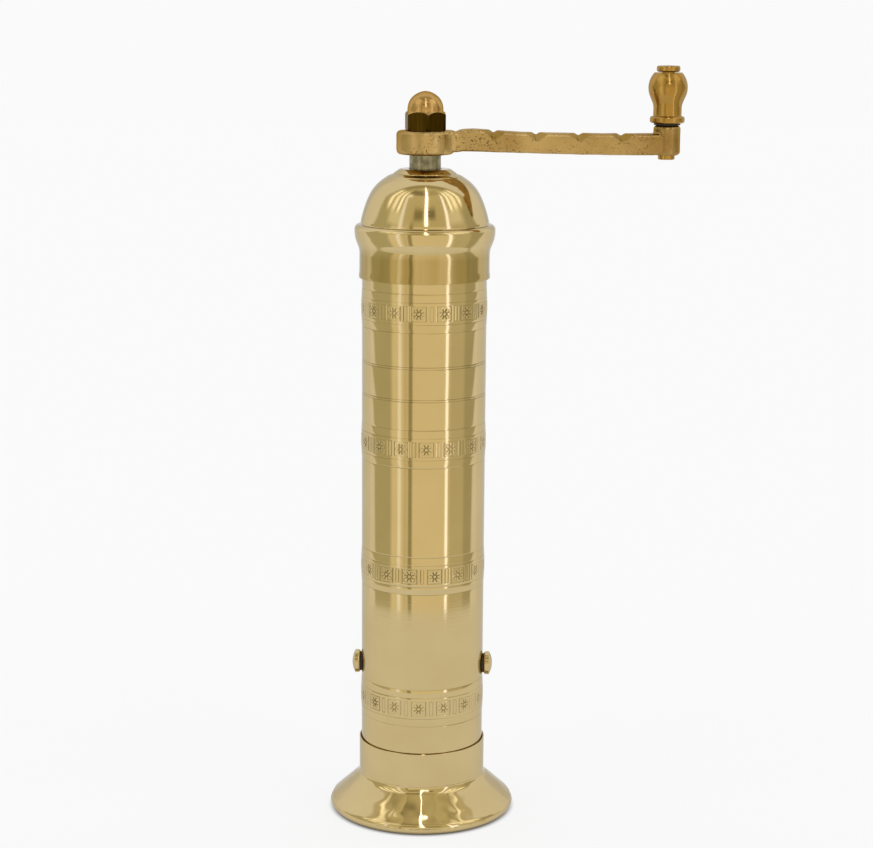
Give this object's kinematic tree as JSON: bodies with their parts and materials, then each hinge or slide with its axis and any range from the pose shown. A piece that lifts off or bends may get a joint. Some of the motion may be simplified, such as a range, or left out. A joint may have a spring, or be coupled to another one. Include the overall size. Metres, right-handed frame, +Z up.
{
  "type": "pepper mill",
  "caption": "Tall brass cylinder pepper mill with a lift-off domed cap, a crank with a turning knob, a flared foot and a conical burr set by a screw reached through the foot.",
  "frame": {"origin": "centre of the foot's resting ring, on the table", "axes": "+Z up along the shaft, +X from the shaft towards the crank's knob at rest"},
  "size_m": [0.1049, 0.0562, 0.2275],
  "materials": {
    "polished_brass": "polished",
    "cast_brass": "cast, lightly polished",
    "turned_brass": "turned, aged",
    "steel": "turned",
    "burr_steel": "hardened, dark",
    "dark_fibre": "matte"
  },
  "bodies": {
    "mill_body": {"body_tube": "polished_brass", "foot_skirt": "polished_brass", "ring_burr": "burr_steel", "side_screws": "polished_brass", "side_washers": "dark_fibre", "guide_bar": "cast_brass", "guide_screws": "steel", "lower_bridge": "cast_brass", "bridge_screws": "steel", "adjuster_spring": "steel"},
    "ball_seat": {"thrust_ball": "steel"},
    "adjuster": {"adjusting_screw": "steel", "adjuster_wheel": "turned_brass"},
    "rotor": {"drive_shaft": "steel", "journal_sleeve": "steel", "burr_cone": "burr_steel", "burr_pin": "steel"},
    "crank": {"crank_arm": "cast_brass", "knob_spindle": "turned_brass", "knob_washer": "dark_fibre"},
    "knob": {"crank_knob": "turned_brass"},
    "nut": {"cap_nut": "polished_brass"},
    "dome": {"dome_cap": "polished_brass", "dome_bush": "polished_brass"}
  },
  "joints": [
    {"name": "rotor_rise", "type": "slide", "parent": "mill_body", "child": "ball_seat", "axis": [0, 0, 1], "range_m": [-0.001, 0.0005], "deforming": ["adjuster_spring"]},
    {"name": "adjuster_turn", "type": "hinge", "parent": "ball_seat", "child": "adjuster", "pos_m": [0, 0, 0.0215], "axis": [0, 0, 1], "range_deg": [-396, 198]},
    {"name": "crank_spin", "type": "hinge", "parent": "ball_seat", "child": "rotor", "pos_m": [0, 0, 0.2048], "axis": [0, 0, 1], "continuous": true},
    {"name": "dome_lift", "type": "slide", "parent": "mill_body", "child": "dome", "axis": [0, 0, 1], "range_m": [0, 0.06]},
    {"name": "crank_lift", "type": "slide", "parent": "rotor", "child": "crank", "axis": [0, 0, 1], "range_m": [0, 0.0751]},
    {"name": "nut_lift", "type": "slide", "parent": "rotor", "child": "nut", "axis": [0, 0, 1], "range_m": [0, 0.0901]},
    {"name": "knob_spin", "type": "hinge", "parent": "crank", "child": "knob", "pos_m": [0.071, 0, 0.2181], "axis": [0, 0, 1], "continuous": true}
  ],
  "couplings": [
    {"joint": "adjuster_turn", "follows": "rotor_rise", "rad_per_m": 6283.2},
    {"joint": "crank_lift", "follows": "dome_lift", "ratio": 1.25},
    {"joint": "nut_lift", "follows": "dome_lift", "ratio": 1.5}
  ]
}
